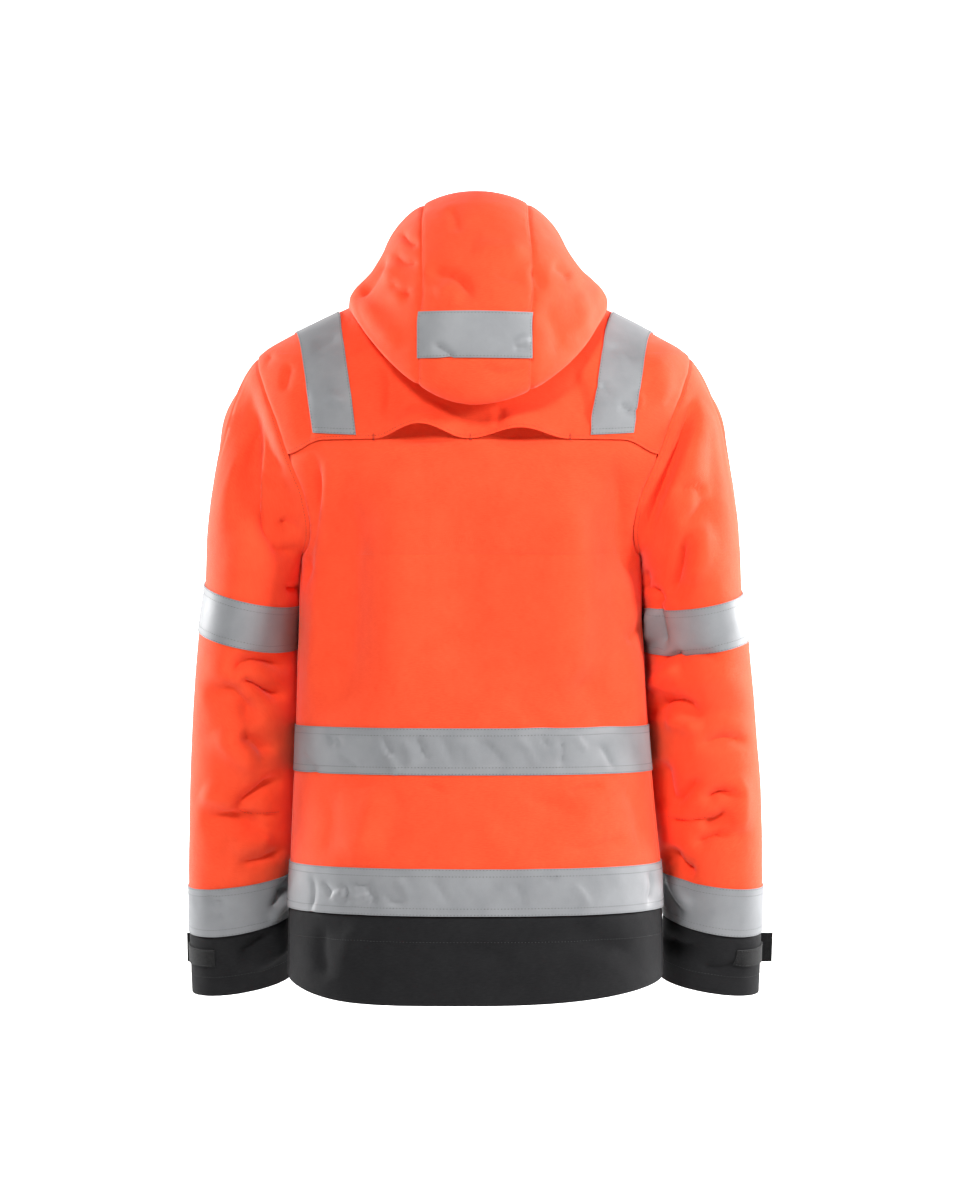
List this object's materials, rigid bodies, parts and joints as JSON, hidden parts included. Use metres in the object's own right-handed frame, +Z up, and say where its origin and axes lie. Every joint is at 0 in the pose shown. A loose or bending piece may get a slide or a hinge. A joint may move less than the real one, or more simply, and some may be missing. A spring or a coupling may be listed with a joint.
{
  "type": "hooded hi-vis work jacket",
  "caption": "Hooded hi-vis shell jacket in its worn form with the hood down, orange with black hem and cuffs, grey reflective tapes and a front zip.",
  "frame": {"origin": "middle of the neck, at the height where the shoulder line meets the collar", "axes": "+Z up, -Y the way the wearer faces, +X the wearer's left"},
  "size_m": [0.6663, 0.3299, 0.8849],
  "materials": {
    "orange_cloth": "matt woven shell cloth",
    "black_cloth": "matt woven shell cloth",
    "reflective_tape": "satin glass-bead tape",
    "hook_and_loop": "matt pile",
    "zip_plastic": "satin moulded",
    "zip_metal": "satin dark coating"
  },
  "bodies": {
    "jacket": {"back_panel": "orange_cloth", "back_yoke": "orange_cloth", "front_left": "orange_cloth", "front_right": "orange_cloth", "collar": "orange_cloth", "hood_centre": "orange_cloth", "hood_left": "orange_cloth", "hood_right": "orange_cloth", "sleeve_left": "orange_cloth", "sleeve_right": "orange_cloth", "back_hem": "black_cloth", "front_hem_left": "black_cloth", "front_hem_right": "black_cloth", "cuff_left": "black_cloth", "cuff_right": "black_cloth", "waist_band_back": "reflective_tape", "waist_band_left": "reflective_tape", "waist_band_right": "reflective_tape", "low_band_back": "reflective_tape", "low_band_left": "reflective_tape", "low_band_right": "reflective_tape", "hood_patch": "reflective_tape", "shoulder_tape_left": "reflective_tape", "shoulder_tape_right": "reflective_tape", "sleeve_band_upper_left": "reflective_tape", "sleeve_band_upper_right": "reflective_tape", "sleeve_band_lower_left": "reflective_tape", "sleeve_band_lower_right": "reflective_tape", "cuff_loop_left": "hook_and_loop", "cuff_loop_right": "hook_and_loop", "cuff_tab_left": "hook_and_loop", "cuff_tab_right": "hook_and_loop", "zip": "zip_plastic", "zip_slider": "zip_metal"},
    "pull": {"zip_pull": "zip_metal"}
  },
  "joints": [
    {"name": "zip_pull_hinge", "type": "hinge", "parent": "jacket", "child": "pull", "pos_m": [0, -0.09139, -0.00637], "axis": [-1, 0, 0], "range_deg": [0, 150]}
  ]
}
